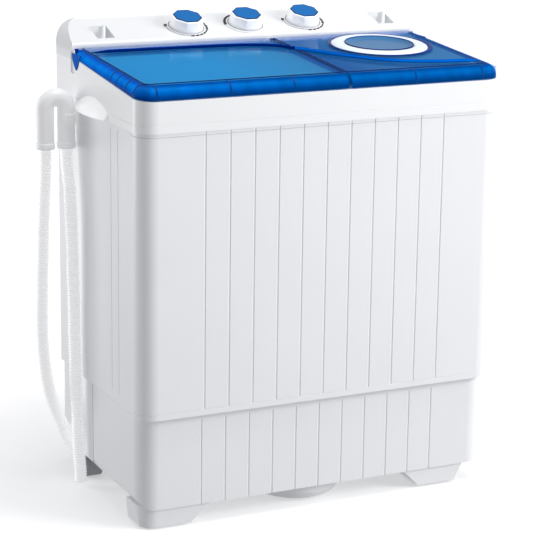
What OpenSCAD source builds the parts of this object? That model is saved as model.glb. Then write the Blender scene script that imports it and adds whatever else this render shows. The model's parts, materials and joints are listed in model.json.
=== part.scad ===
// Twin tub washing machine: a wash tub with a pulsator on the left, a spin basket on the right.
// Millimetres. X runs left to right, Y from the front to the back, Z up.
// The origin is on the floor, under the centre of the machine.

/* [Cabinet] */
// Overall width of the top frame
body_w = 710; // [706:1:712]
// Overall depth of the top frame
body_d = 440; // [438:1:442]
// Outer corner radius in plan
corner_r = 34; // [28:1:38]
// Wall of the moulded shells
wall = 3; // [2.6:0.1:3.4]
// Number of grooves on the front
groove_count = 11; // [9:2:13]
// Distance between two grooves
groove_pitch = 46.65; // [44:0.05:47]

/* [Controls] */
// Distance between two knobs
knob_pitch = 121.5; // [118:0.5:124]
// Diameter of a knob's skirt
knob_d = 63; // [60:1:66]
// Height of a knob
knob_h = 18; // [16:1:20]

/* [Tubs] */
// Depth of the wash tub's floor below its rim
wash_depth = 413; // [400:1:416]
// Outer diameter of the spin basket
basket_d = 224; // [218:1:226]
// Diameter of the pulsator
pulsator_d = 236; // [220:1:240]

/* [Drain hose] */
// Outer diameter of the corrugated hose
hose_d = 24; // [22:1:24]
// Outer diameter of the rigid bend
bend_d = 33; // [31:1:34]

/* [Hidden] */
$fn = 64;

white = "#f2f3f5";
grey = "#b9bec4";
steel = "#8d939b";
rubber = "#3a3c40";
lid_blue = "#3f8fdc";
cap_blue = "#1f86ce";
hose_white = "#e8e8e8";

half_w = body_w / 2;
half_d = body_d / 2;

// heights of the stack, from the floor up
floor_z = 37.5;      // underside of the base
base_top = 209;      // base meets cabinet
band_top = 219.5;    // plain band at the foot of the cabinet
skirt_z = 717.5;     // cabinet meets top frame
seam_z = 732;        // line round the top frame
collar_z = 745;      // collars of the top frame meet the tubs
console_z = 800;     // top frame meets console
top_z = 861;         // top of the console

// the top frame's rim rises towards the back
rim_front = 773;
rim_slope = 0.098;
function rim_z(y) = rim_front + rim_slope * (y + 220);

// the lids' flat top rises less steeply
lid_top_y = -200;
lid_top_z = 799.4;
lid_tilt = 3.72;
lid_back = 109.5;
lid_bull = 20;
lid_wall = 2.5;
rim_gap = 0.4;
ear_t = 2;
split_x = 43;
function lid_z(y) = lid_top_z + (y - lid_top_y) * tan(lid_tilt);

// lid hinge line
hinge_y = 104;
hinge_z = 813;
pin_r = 3;
run = 0.05;          // radial clearance of a running fit
lug_r = 5.6;
heel_z = hinge_z - 5.4;   // foot of the lids' back wall, clear of the rim as they swing

// sloping face of the console
face_y = 118;
face_z = 828;
face_end = [210, 858.5];
face_tilt = atan2(face_end[1] - face_z, face_end[0] - face_y);
console_y = 114;
function face_at(y) = face_z + (y - face_y) * tan(face_tilt);
knob_y = 157;
knob_x0 = 11.5;
inlet_x = 291;
inlet_y = 152;
inlet_base = 823;

// tubs
wash_c = [-150, -48];
wash_half = [178.5, 138];
wash_r = 55;
tub_wall = 2.5;
wash_floor = collar_z - wash_depth;
spin_c = [198, -48];
spin_r = 128.5;
spin_floor = 302;
mouth_r = 115;
well_w = 106;         // half width of the well that the open safety lid stands in
well_back = 68;
basket_r = basket_d / 2;

// wash drive
motor_c = [-262, 60];
pulley_z = 244;
pulley_h = 14;
pulley_r = 80;
small_r = 26;
shaft_r = 6;

// spin drive
spin_shaft_r = 8;
drum_r = 45;
brake_pin = [250, 32];

// drain
valve_c = [50, 70];
bend_c = [-394.5, 88];
bend_half = 19.5;
bend_z = 717;
bend_foot = 645;
hose_route = [[-366, 117, 78], [-376, 117, 100], [-386, 115, 122], [-397, 111, 148], [-407, 105, 177],
    [-415, 98, 208], [-421, 92, 242], [-425, 89, 282], [-426, 88, 324], [-425, 88, 365],
    [-424, 88, 405], [-422, 88, 445], [-421, 88, 485], [-419, 88, 520], [-417, 88, 555],
    [-415, 88, 590], [-414, 88, 620], [-414, 88, 645]];
tail_route = [[-375, 88, 645], [-375, 87, 622], [-374, 83, 598], [-373, 78, 572], [-373, 74, 540],
    [-372, 72, 500], [-371, 71, 460], [-371, 71, 420], [-370, 71, 380], [-369, 72, 340],
    [-369, 72, 300], [-368, 72, 260], [-368, 71, 220], [-367, 70, 180], [-366, 68, 140],
    [-366, 66, 100], [-365, 64, 60], [-364, 61, 30], [-364, 60, 10]];
pipe_route = [[50, 70, 262], [50, 72, 235], [49, 80, 200], [44, 100, 160], [30, 128, 120],
    [5, 148, 88], [-30, 160, 68], [-75, 166, 60], [-125, 168, 58], [-175, 167, 58], [-225, 160, 58],
    [-265, 148, 58], [-295, 132, 59], [-315, 121, 60], [-330, 117, 60]];
outlet_z = 60;

// ---------- helpers ----------

// 2D (y, z) outline extruded along X
module along_x(x0, x1) translate([x0, 0, 0]) rotate([90, 0, 90]) linear_extrude(x1 - x0) children();

// 2D (x, z) outline extruded along Y
module along_y(y0, y1) translate([0, y1, 0]) rotate([90, 0, 0]) linear_extrude(y1 - y0) children();

// rectangle with its own radius at each corner: low-low, high-low, high-high, low-high
module round_rect(lo, hi, r) {
    corners = [[lo[0], lo[1], 1, 1], [hi[0], lo[1], -1, 1], [hi[0], hi[1], -1, -1], [lo[0], hi[1], 1, -1]];
    difference() {
        translate(lo) square([hi[0] - lo[0], hi[1] - lo[1]]);
        for (i = [0:3]) if (r[i] > 0) corner_cut(corners[i], r[i]);
    }
}

module corner_cut(c, r) {
    x0 = min(c[0] - c[2], c[0] + c[2] * r);
    y0 = min(c[1] - c[3], c[1] + c[3] * r);
    difference() {
        translate([x0, y0]) square(r + 1);
        translate([c[0] + c[2] * r, c[1] + c[3] * r]) circle(r);
    }
}

// upright column with a rounded plan
module column(lo, hi, r, z0, z1) translate([0, 0, z0]) linear_extrude(z1 - z0)
    round_rect(lo, hi, [r, r, r, r]);

module pin_x(x0, x1, y, z, r) translate([x0, y, z]) rotate([0, 90, 0]) cylinder(r = r, h = x1 - x0);
module pin_y(x, y0, y1, z, r) translate([x, y1, z]) rotate([90, 0, 0]) cylinder(r = r, h = y1 - y0);
module pin_z(c, z0, z1, r) translate([c[0], c[1], z0]) cylinder(r = r, h = z1 - z0);
module tube_z(c, z0, z1, ro, ri) difference() {
    pin_z(c, z0, z1, ro);
    pin_z(c, z0 - 1, z1 + 1, ri);
}
module block(x0, x1, y0, y1, z0, z1) translate([x0, y0, z0]) cube([x1 - x0, y1 - y0, z1 - z0]);

// ring of points round a route, swept to one closed tube
function unit(v) = v / norm(v);
function heading(p, i) = unit(p[min(i + 1, len(p) - 1)] - p[max(i - 1, 0)]);
function ring(c, t, r, n, up) = let (u = unit(cross(t, up)), v = cross(t, u))
    [for (k = [0:n - 1]) c + r * (cos(360 * k / n) * u + sin(360 * k / n) * v)];
module tube_along(p, r, n = 12, up = [0, 1, 0]) {
    m = len(p);
    points = [for (i = [0:m - 1]) each ring(p[i], heading(p, i), r, n, up)];
    sides = [for (i = [0:m - 2], k = [0:n - 1]) let (a = i * n + k, b = i * n + (k + 1) % n)
        each [[a, b, b + n], [a, b + n, a + n]]];
    start = [for (k = [0:n - 1]) n - 1 - k];
    finish = [for (k = [0:n - 1]) (m - 1) * n + k];
    polyhedron(points, concat([start], sides, [finish]), convexity = 6);
}

// frame of a knob: origin on the console's face, Z out of it
module at_knob(i) translate([knob_x0 + (i - 1) * knob_pitch, knob_y, face_at(knob_y)])
    rotate([face_tilt, 0, 0]) children();

// frame of the lids' top plane: origin at its front edge
module at_lid_top() translate([0, lid_top_y, lid_top_z]) rotate([lid_tilt, 0, 0]) children();

// ---------- base ----------

base_lo = [-349, -205];
base_hi = [349, 214];
base_r = 27;
foot_outline = [[[-347, 42], [-343, 4], [-250, 4], [-209, 42]], [[178, 42], [216, 4], [292, 4], [312, 42]]];
pad_span = [[-334, -256], [222, 286]];
dish_c = [0, -103];

module base_body(t) intersection() {
    column(base_lo + [t, t], base_hi - [t, t], corner_r - t, floor_z, base_top + (t > 0 ? 1 : 0));
    along_y(-230, 230) round_rect([base_lo[0] + t, floor_z + t], [base_hi[0] - t, base_top + 2],
        [base_r - t, base_r - t, 0, 0]);
}

module base() color(white) difference() {
    union() {
        base_body(0);
        intersection() {
            for (f = foot_outline) along_y(-202, -128) polygon(f);
            column(base_lo + [3, 4], base_hi - [3, 4], corner_r - 4, 0, 60);
        }
    }
    difference() {
        base_body(3.5);
        block(-349, 349, -205, 214, floor_z - 1, floor_z + 3.5);
    }
    translate([dish_c[0], dish_c[1], floor_z - 1]) cylinder(r = 78, h = 10);
    for (i = [0:groove_count - 1])
        pin_z([(i - (groove_count - 1) / 2) * groove_pitch, base_lo[1] - 0.9], floor_z - 1, 197, 2.2);
    pin_x(-360, -340, 117, outlet_z, 14);
    // upright seam groove towards the back of each side
    for (s = [-1, 1]) block(s * 349 - 1.5, s * 349 + 1.5, 30.5, 33, 45, 206);
}

module foot_pads() color(rubber) {
    for (p = pad_span) column([p[0], -190], [p[1], -134], 12, 0, 4);
    for (s = [-1, 1]) intersection() {
        pin_x(s * 325 - 16, s * 325 + 16, 108, 19, 19);
        block(s * 325 - 17, s * 325 + 17, 80, 136, 0, floor_z);
    }
}

module base_dish() color(white) translate([dish_c[0], dish_c[1], 0]) rotate_extrude()
    polygon([[0, 3], [68, 3], [79, 8], [85, 18], [88, floor_z], [78.5, floor_z], [78, floor_z - 3],
        [83, floor_z - 3], [81, 20], [76, 11], [67, 6], [0, 6]]);

// ---------- cabinet ----------

cab_lo = [-353.5, -218.5];
cab_hi = [353.5, 218];
cover_x = 280;
cover_z = [240, 690];
screw_x = [-265, -90, 90, 265];

module cabinet() color(white) difference() {
    intersection() {
        column(cab_lo, cab_hi, corner_r - 1.5, base_top, skirt_z);
        along_y(-230, 230) round_rect([cab_lo[0], base_top], [cab_hi[0], skirt_z + 5], [4, 4, 0, 0]);
    }
    column(cab_lo + [wall, wall], cab_hi - [wall, wall], corner_r - 1.5 - wall, base_top + wall,
        skirt_z + 1);
    column([-335, -192], [335, 200], 20, base_top - 1, base_top + 10);
    for (i = [0:groove_count - 1])
        pin_z([(i - (groove_count - 1) / 2) * groove_pitch, cab_lo[1] - 0.9], band_top, skirt_z + 1, 2.2);
    for (s = [-1, 1], y = [-81, -115]) pin_z([s * (cab_hi[0] + 0.7), y], band_top + 12, skirt_z - 8, 1.6);
    // line along the top of the plain band, on the front
    difference() {
        block(-360, 360, -225, -186, band_top - 0.7, band_top + 0.7);
        column(cab_lo + [0.8, 0.8], cab_hi - [0.8, 0.8], corner_r - 2.3, band_top - 1, band_top + 1);
    }
    block(-cover_x + 20, cover_x - 20, 200, 230, cover_z[0] + 20, cover_z[1] - 20);
    for (x = screw_x, z = cover_z) pin_y(x, 210, 230, z + (z < 400 ? 10 : -10), 1.9);
}

module rear_cover() color(white) difference() {
    union() {
        block(-cover_x, cover_x, 218, 220, cover_z[0], cover_z[1]);
        block(-cover_x + 21, cover_x - 21, 214.5, 218, cover_z[0] + 21, cover_z[1] - 21);
    }
    block(-cover_x + 24, cover_x - 24, 214, 218, cover_z[0] + 24, cover_z[1] - 24);
    for (x = screw_x, z = cover_z) pin_y(x, 217, 221, z + (z < 400 ? 10 : -10), 2);
    for (x = screw_x, z = cover_z) pin_y(x, 218.5, 221, z + (z < 400 ? 10 : -10), 4.1);
    for (i = [0:9]) block(60 + i * 18, 66 + i * 18, 213, 221, 300, 380);
    pin_y(-200, 210, 221, 300, 9);
}

module screws() color(steel) for (x = screw_x, z = cover_z) union() {
    pin_y(x, 208, 219, z + (z < 400 ? 10 : -10), 1.9);
    pin_y(x, 218.5, 219.8, z + (z < 400 ? 10 : -10), 4);
}

module cord_gland() color(rubber) difference() {
    union() {
        pin_y(-200, 206, 218, 300, 12);
        pin_y(-200, 216, 220, 300, 9);
    }
    pin_y(-200, 200, 225, 300, 3.8);
}

// ---------- top frame and console ----------

module frame_column(t, z0, z1)
    column([-half_w + t, -half_d + t], [half_w - t, half_d - t], corner_r - t, z0, z1);

module rim_profile(drop) polygon([[-230, skirt_z - 5], [230, skirt_z - 5], [230, console_z - drop],
    [112, console_z - drop], [112, rim_z(112) - drop], [-230, rim_z(-230) - drop]]);

module wash_mouth(t, z0, z1)
    column(wash_c - wash_half - [t, t], wash_c + wash_half + [t, t], wash_r + t, z0, z1);

module hinge_lugs() difference() {
    for (x = [[-351, -345], [split_x - 4.5, split_x + 4.5], [345, 351]]) {
        pin_x(x[0], x[1], hinge_y, hinge_z, lug_r);
        block(x[0], x[1], hinge_y - lug_r, hinge_y + lug_r, console_z, hinge_z);
    }
    pin_x(-360, 360, hinge_y, hinge_z, pin_r);
}

module top_frame() color(white) {
    difference() {
        intersection() {
            union() {
                difference() {
                    frame_column(0, skirt_z, console_z + 20);
                    intersection() {
                        frame_column(wall, skirt_z - 1, console_z + 20);
                        along_x(-half_w, half_w) rim_profile(4);
                    }
                }
                wash_mouth(tub_wall, collar_z, console_z + 20);
                pin_z(spin_c, collar_z, console_z + 20, mouth_r + 3);
                block(spin_c[0] - well_w - 3, spin_c[0] + well_w + 3, -20, well_back + 3, 748,
                    console_z + 20);
                // wall behind the pockets of the lids' ears
                for (s = [-1, 1]) block(s * (half_w - 3) - 1.5, s * (half_w - 3) + 1.5, 62, 113, 745, 830);
            }
            along_x(-half_w, half_w) rim_profile(0);
        }
        wash_mouth(0, collar_z - 1, console_z + 30);
        pin_z(spin_c, collar_z - 1, console_z + 30, mouth_r);
        block(spin_c[0] - well_w, spin_c[0] + well_w, -17, well_back, 751, console_z + 30);
        // seam line round the outside
        difference() {
            frame_column(-1, seam_z - 0.8, seam_z + 0.8);
            frame_column(0.8, seam_z - 1, seam_z + 1);
        }
        // pockets that the lids' ears sweep through
        for (s = [-1, 1]) intersection() {
            pin_x(s * half_w - ear_t - rim_gap, s * half_w + ear_t + rim_gap, hinge_y, hinge_z, 38);
            block(s * half_w - 3, s * half_w + 3, 0, 113, 760, 830);
        }
    }
    hinge_lugs();
    // lugs of the safety lid
    for (s = [-1, 1]) difference() {
        block(spin_c[0] + s * 23.5 - 3, spin_c[0] + s * 23.5 + 3, 55, well_back + 1, 750, 762.5);
        pin_x(spin_c[0] + s * 23.5 - 5, spin_c[0] + s * 23.5 + 5, 60, 758, 2);
    }
}

module console_body(t) intersection() {
    along_x(-half_w, half_w) union() {
        polygon([[console_y + t, console_z - 1], [half_d - t, console_z - 1], [half_d - t, 855],
            [214, top_z - t], face_end - [0, t], [face_y, face_z - t], [console_y + t, 822]]);
        translate([214, 855]) circle(6 - t);
        translate([121, 821.6]) circle(7 - t);
    }
    along_y(100, 230) round_rect([-half_w + t, console_z - (t > 0 ? 1 : 0)], [half_w - t, top_z],
        [0, 0, 20 - t, 55 - t]);
    frame_column(t, console_z - 1, top_z + 1);
}

module console() color(white) difference() {
    union() {
        difference() {
            console_body(0);
            console_body(wall);
        }
        intersection() {
            console_body(0);
            for (s = [-1, 1]) block(knob_x0 + s * inlet_x - 20, knob_x0 + s * inlet_x + 20, 127, 181,
                inlet_base - 3, top_z);
        }
    }
    for (s = [-1, 1]) block(knob_x0 + s * inlet_x - 17, knob_x0 + s * inlet_x + 17, 130, 178,
        inlet_base, top_z + 5);
    for (i = [0:2]) at_knob(i) translate([0, 0, -10]) cylinder(r = 6, h = 20);
}

module inlet_spouts() color(white) for (s = [-1, 1])
    translate([knob_x0 + s * inlet_x, inlet_y, inlet_base]) rotate_extrude()
        polygon([[0, 0], [11, 0], [11, 2], [6.5, 3], [6.5, 28], [4, 28], [4, 4], [0, 4]]);

module dial_rings() color(grey) for (i = [0:2]) at_knob(i) difference() {
    translate([0, 0, 0.01]) cylinder(r = 40, h = 1.2);
    translate([0, 0, -1]) cylinder(r = 10, h = 4);
}

module control_body(i) at_knob(i) difference() {
    union() {
        translate([0, 0, -28]) cylinder(r = 22, h = 23);
        translate([0, 0, -5.2]) cylinder(r = 10, h = 1.2);
        translate([-30, -8, -7]) cube([60, 16, 1.5]);
    }
    translate([0, 0, -15]) cylinder(r = 3 + run, h = 20);
}
module wash_timer() color(grey) control_body(0);
module drain_selector() color(grey) control_body(1);
module spin_timer() color(grey) control_body(2);

// knob with its spindle, and its eight-sided grip
module knob(i) at_knob(i) {
    translate([0, 0, 2]) cylinder(r = knob_d / 2, h = 5);
    translate([0, 0, 7]) cylinder(r = knob_d / 2 - 2, h = 3);
    translate([0, 0, 10]) rotate([0, 0, 22.5]) cylinder(r1 = 30, r2 = 28.5, h = knob_h - 8, $fn = 8);
    translate([0, 0, -14]) cylinder(r = 3, h = 16);
}
module knob_cap(i) at_knob(i) translate([0, 0, knob_h + 2]) rotate([0, 0, 22.5])
    cylinder(r = 25, h = 1.5, $fn = 8);
module wash_knob() color(white) knob(0);
module selector_knob() color(white) knob(1);
module spin_knob() color(white) knob(2);
module wash_knob_cap() color(cap_blue) knob_cap(0);
module selector_knob_cap() color(cap_blue) knob_cap(1);
module spin_knob_cap() color(cap_blue) knob_cap(2);

// cup handle: a long shallow dome on the side of the top frame, blunt at its ends, open below
cup_r = 256.7;
cup_in = 202.4;
cup_c = [1, 590.1];
cup_half = 72;
cup_z = 719;
cup_wall = 4;
module cup(s, t) intersection() {
    translate([s * (half_w - cup_in), cup_c[0], cup_c[1]]) sphere(cup_r - t, $fn = 360);
    translate([s * (half_w + 20), cup_c[0], cup_z])
        block(-20 - t, 20 + t, t - cup_half, cup_half - t, -t, 80);
}
module handle(s) color(white) difference() {
    cup(s, 0);
    cup(s, cup_wall);
}
module handle_left() handle(-1);
module handle_right() handle(1);

// ---------- tubs ----------

module wash_tub() color(white) difference() {
    wash_mouth(tub_wall, wash_floor, collar_z);
    wash_mouth(0, wash_floor + 3, collar_z + 1);
    pin_z(wash_c, wash_floor - 1, wash_floor + 5, 14);
    pin_x(20, 40, 60, wash_floor + 12, 8);
}

module spin_tub() color(white) difference() {
    pin_z(spin_c, spin_floor, collar_z, spin_r + tub_wall);
    pin_z(spin_c, spin_floor + 3, collar_z + 1, spin_r);
    pin_z(spin_c, spin_floor - 1, spin_floor + 5, 30);
}

module overflow_cover() color(white) difference() {
    block(25, 28.5, -35, 35, 560, 720);
    for (i = [0:6]) block(20, 30, -25, 25, 575 + i * 20, 583 + i * 20);
}

module lint_filter() color("#9fb6cc") difference() {
    block(-205, -95, 80, 89.5, 480, 690);
    for (x = [-196, -172, -148, -124], z = [492, 530, 568, 606]) block(x, x + 19, 70, 88, z, z + 32);
    block(-196, -104, 79, 84, 648, 682);
}

// ---------- wash drive ----------

module pulsator() color("#dfe6ee") difference() {
    translate([wash_c[0], wash_c[1], 0]) union() {
        rotate_extrude() polygon([[0, 341], [pulsator_d / 2, 341], [pulsator_d / 2, 345],
            [pulsator_d / 2 - 6, 348], [40, 350], [24, 366], [0, 368]]);
        for (i = [0:5]) rotate([0, 0, i * 60]) translate([24, -4, 346]) cube([84, 8, 12]);
    }
    pin_z(wash_c, 340, 360, shaft_r);
    pin_z(wash_c, 359, 369, 5);
    for (i = [0:11]) translate([wash_c[0], wash_c[1], 0]) rotate([0, 0, i * 30 + 15])
        translate([92, 0, 335]) cylinder(r = 3, h = 20);
}

module pulsator_screw() color(steel) union() {
    pin_z(wash_c, 360, 364, 5);
    pin_z(wash_c, 350, 360, 2.5);
}

module pulsator_shaft() color(steel) difference() {
    pin_z(wash_c, 240, 360, shaft_r);
    pin_z(wash_c, 350, 361, 2.5);
}

module pulsator_bearing() color(steel) difference() {
    union() {
        pin_z(wash_c, 264, wash_floor, 22);
        pin_z(wash_c, wash_floor - 6, wash_floor, 46);
    }
    pin_z(wash_c, 260, wash_floor + 1, shaft_r + run);
}

module pulsator_seal() color(rubber) tube_z(wash_c, wash_floor, wash_floor + 6, 13.9, shaft_r + 0.06);

// V pulley: rim with a groove, web, hub
module pulley(c, r, bore) translate([c[0], c[1], pulley_z]) rotate_extrude()
    polygon([[bore, 0], [r, 0], [r, 1.5], [r - 7, 5], [r - 7, 9], [r, 12.5], [r, pulley_h],
        [r - 9, pulley_h], [r - 9, 4], [min(15, r - 10), 4], [min(15, r - 10), pulley_h],
        [bore, pulley_h]]);
module wash_pulley() color(grey) pulley(wash_c, pulley_r, shaft_r);
module motor_pulley() color(grey) {
    pulley(motor_c, small_r, 5);
    pin_z(motor_c, 206, pulley_z + pulley_h + 2, 5);
}

// belt: a loop round both pulleys, from two wrapped arcs
belt_gap = 0.8;
belt_h = 4;
function arc(c, r, a0, a1, n) = [for (i = [0:n]) let (a = a0 + (a1 - a0) * i / n) c + r * [cos(a), sin(a)]];
function belt_loop(grow) = let (d = motor_c - wash_c, a = atan2(d[1], d[0]),
    lean = acos((pulley_r - small_r) / norm(d)))
    concat(arc(wash_c, pulley_r + grow, a + lean, a + 360 - lean, 28),
        arc(motor_c, small_r + grow, a - lean, a + lean, 12));
module drive_belt() color(rubber) translate([0, 0, pulley_z + 3]) linear_extrude(8) difference() {
    polygon(belt_loop(belt_gap + belt_h));
    polygon(belt_loop(belt_gap));
}

module wash_motor() color(steel) difference() {
    union() {
        pin_z(motor_c, 112, 226, 56);
        pin_z(motor_c, 150, 190, 60);
        pin_z(motor_c, 226, 234, 20);
    }
    pin_z(motor_c, 204, 240, 5 + run);
}

drive_legs = [[-310, -5], [-195, -5], [-262, 128]];
module drive_frame() color(steel) difference() {
    union() {
        column([-322, -15], [-185, 138], 10, 234, 237);
        for (p = drive_legs) pin_z(p, 41, 234, 6);
    }
    pin_z(motor_c, 230, 240, 12);
}

// ---------- spin drive ----------

module spin_motor() color(steel) difference() {
    union() {
        pin_z(spin_c, 78, 82, 72);
        pin_z(spin_c, 82, 166, 56);
        pin_z(spin_c, 104, 144, 60);
        pin_z(spin_c, 166, 176, 24);
        // bracket and pivot of the brake arm
        hull() {
            pin_z(spin_c, 166, 169, 20);
            pin_z(brake_pin, 166, 169, 8);
        }
        pin_z(brake_pin, 166, 212, 3.5);
    }
    pin_z(spin_c, 150, 180, spin_shaft_r + run);
}

spring_turns = 4;
spring_steps = 10;
module motor_springs() color(grey) for (k = [0:2]) {
    c = spin_c + 58 * [cos(90 + 120 * k), sin(90 + 120 * k)];
    coil = [for (i = [0:spring_turns * spring_steps]) let (a = i * 360 / spring_steps)
        [c[0] + 8 * cos(a), c[1] + 8 * sin(a), 43 + i * 33 / (spring_turns * spring_steps)]];
    tube_along(coil, 1.8, 6, [0, 0, 1]);
}

module spin_shaft() color(steel) pin_z(spin_c, 152, 346, spin_shaft_r);

module brake_drum() color(grey) difference() {
    union() {
        tube_z(spin_c, 186, 216, drum_r, drum_r - 4);
        pin_z(spin_c, 186, 190, drum_r);
        pin_z(spin_c, 186, 222, 16);
    }
    pin_z(spin_c, 180, 230, spin_shaft_r);
}

module brake_arm() color(steel) difference() {
    union() {
        block(250, 257, -78, 32, 196, 204);
        pin_z([253.5, -78], 196, 204, 3.5);
        block(246.8, 250, -62, -34, 194, 206);
        pin_z(brake_pin, 196, 204, 9);
    }
    pin_z(brake_pin, 190, 210, 3.5 + run);
}

module spin_seal() color(rubber) translate([spin_c[0], spin_c[1], 0]) rotate_extrude()
    polygon([[36, 305], [36, 308], [26, 308], [26, 302], [20, 296], [24, 290], [12, 284],
        [spin_shaft_r + 0.06, 284], [spin_shaft_r + 0.06, 270], [15, 270], [16, 281], [28, 289.5],
        [24, 296], [29.9, 301], [29.9, 305]]);

module spin_basket() color("#dfe6ee") difference() {
    union() {
        tube_z(spin_c, 322, 735, basket_r, basket_r - 1.8);
        pin_z(spin_c, 322, 325, basket_r);
        tube_z(spin_c, 719, 735, basket_r, basket_r - 12);
        pin_z(spin_c, 316, 352, 24);
    }
    pin_z(spin_c, 310, 346, spin_shaft_r);
    for (row = [0:4], k = [0:11])
        translate([spin_c[0], spin_c[1], 380 + row * 70]) rotate([0, 90, k * 30 + (row % 2) * 15])
            translate([0, 0, basket_r - 5]) cylinder(r = 3.5, h = 10);
}

// ---------- drain ----------

module drain_sump() color(grey) difference() {
    union() {
        pin_z(valve_c, 262, 350, 17);
        pin_x(31, 45, 60, wash_floor + 12, 10);
    }
    pin_z(valve_c, 266, 351, 14);
    pin_z(valve_c, 260, 270, 9);
    pin_x(30, 50, 60, wash_floor + 12, 7);
}

module valve_plug() color(rubber) union() {
    pin_z(valve_c, 266, 276, 12);
    pin_z(valve_c, 276, 700, 2.5);
    pin_z(valve_c, 356, 360, 12);
}

module drain_pipe() color(grey) tube_along(pipe_route, 11);

spigot_dir = hose_route[1] - hose_route[0];
spigot_tilt = atan2(-spigot_dir[0], spigot_dir[2]);
spigot_len = norm([hose_route[0][0] + 358, hose_route[0][2] - outlet_z]);
module drain_elbow() color(grey) {
    pin_x(-358, -330, hose_route[0][1], outlet_z, 9);
    translate([-358, hose_route[0][1], outlet_z]) sphere(9);
    pin_x(-352, -349, hose_route[0][1], outlet_z, 18);
    translate(hose_route[0]) rotate([0, -spigot_tilt, 0]) translate([0, 0, -spigot_len])
        cylinder(r = 9, h = spigot_len);
}

module drain_hose() color(hose_white) tube_along(hose_route, hose_d / 2);
module hose_tail() color(hose_white) tube_along(tail_route, hose_d / 2);

module bend_leg(x, r, z0, z1) pin_z([x, bend_c[1]], z0, z1, r);
module bend_arc(r) translate([bend_c[0], bend_c[1], bend_z]) rotate([90, 0, 0])
    rotate_extrude(angle = 180) translate([bend_half, 0]) circle(r);
module gooseneck() color(white) difference() {
    union() {
        bend_arc(bend_d / 2);
        for (s = [-1, 1]) bend_leg(bend_c[0] + s * bend_half, bend_d / 2, bend_foot, bend_z);
    }
    for (s = [-1, 1]) bend_leg(bend_c[0] + s * bend_half, 11, bend_foot - 1, bend_z - 2);
}

module hose_clip() color(grey) difference() {
    union() {
        pin_z([-375, 88], 690, 706, 20);
        block(-357, -353.5, 74, 102, 684, 712);
    }
    pin_z([-375, 88], 680, 715, bend_d / 2 + 0.05);
    block(-400, -382, 60, 116, 680, 715);
}

// ---------- lids ----------

// closed block in the outline of a lid, drawn in by t
module lid_block(x0, x1, t) {
    outer = x0 < 0 ? [corner_r - t, 0.01] : [0.01, corner_r - t];
    side = x0 < 0 ? [0, 0, 0, 18 - t] : [0, 0, 18 - t, 0];
    intersection() {
        along_x(x0 + t, x1 - t) union() {
            polygon([[-half_d + t, rim_z(-half_d) + rim_gap - (t > 0 ? 1 : 0)],
                [hinge_y, rim_z(hinge_y) + rim_gap - (t > 0 ? 1 : 0)], [lid_back - t, heel_z - t],
                [lid_back - t, lid_z(lid_back - t) - t], [lid_top_y, lid_top_z - t],
                [-half_d + t, lid_top_z - lid_bull]]);
            intersection() {
                translate([lid_top_y, lid_top_z - lid_bull]) circle(lid_bull - t);
                translate([-half_d, lid_top_z - lid_bull]) square([half_d, lid_bull]);
            }
        }
        translate([0, 0, 740]) linear_extrude(120)
            round_rect([x0 + t, -half_d + t], [x1 - t, 140], [outer[0], outer[1], 0, 0]);
        at_lid_top() along_y(-60, 340) round_rect([x0 + t, -60], [x1 - t, -t], side);
    }
}

// ear at the lid's outer back corner
module ear(s) along_x(s > 0 ? half_w - ear_t : -half_w, s > 0 ? half_w : ear_t - half_w)
    polygon([[70, rim_z(70) + rim_gap], [73, 797], [80, 790], [85, 783], [89, 782], [96, 788], [104, 797],
        [108, 804], [108, 812], [64, 812]]);

module lid(x0, x1, s) {
    b0 = s < 0 ? -344.5 : split_x + 5;
    b1 = s < 0 ? split_x - 5 : 344.5;
    difference() {
        union() {
            difference() {
                lid_block(x0, x1, 0);
                lid_block(x0, x1, lid_wall);
                block(s < 0 ? -352.4 : split_x, s < 0 ? -344.4 : split_x + 5, 95, 120, 790, 830);
                block(s < 0 ? split_x - 5 : 344.4, s < 0 ? split_x : 352.4, 95, 120, 790, 830);
            }
            pin_x(b0, b1, hinge_y, hinge_z, lug_r);
            ear(s);
        }
        pin_x(b0 - 1, b0 + 20, hinge_y, hinge_z, pin_r + run);
        pin_x(b1 - 20, b1 + 1, hinge_y, hinge_z, pin_r + run);
    }
}
module wash_lid() color(lid_blue, 0.8) lid(-half_w, split_x - 1, -1);
module spin_lid() color(lid_blue, 0.8) lid(split_x + 1, half_w, 1);

ring_c = [213, -6];
module spin_lid_ring() color(white) at_lid_top()
    translate([ring_c[0], (ring_c[1] - lid_top_y) / cos(lid_tilt), 0]) rotate_extrude()
        polygon([[91, 0], [90, 2], [86, 4], [80, 5], [70, 5], [66, 4], [64, 0]]);

module hinge_pins() color(steel) {
    pin_x(-351, -326, hinge_y, hinge_z, pin_r);
    pin_x(split_x - 17, split_x + 17, hinge_y, hinge_z, pin_r);
    pin_x(326, 351, hinge_y, hinge_z, pin_r);
    for (s = [-1, 1]) pin_x(spin_c[0] + s * 18 - 8, spin_c[0] + s * 18 + 8, 60, 758, 2);
}

module safety_lid() color("#cfe0f0") difference() {
    union() {
        pin_z(spin_c, 752, 755, 104);
        block(spin_c[0] - 18, spin_c[0] + 18, 50, 60, 752, 758);
        pin_x(spin_c[0] - 20, spin_c[0] + 20, 60, 758, 4);
        tube_z([spin_c[0], spin_c[1] - 60], 755, 760, 16, 13);
    }
    pin_x(spin_c[0] - 21, spin_c[0] - 9, 60, 758, 2 + run);
    pin_x(spin_c[0] + 9, spin_c[0] + 21, 60, 758, 2 + run);
    for (i = [0:11]) translate([spin_c[0] + 75 * cos(i * 30 + 15), spin_c[1] + 75 * sin(i * 30 + 15), 750])
        cylinder(r = 4, h = 8);
}

module lid_switch() color(grey) {
    block(288, 312, 98, 110, 776, 792);
    block(298, 302, 102, 106, 792, 799);
}

module capacitors() color("#d8d2c0") for (x = [110, 160]) pin_z([x, 180], 41, 112, 18);

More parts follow.
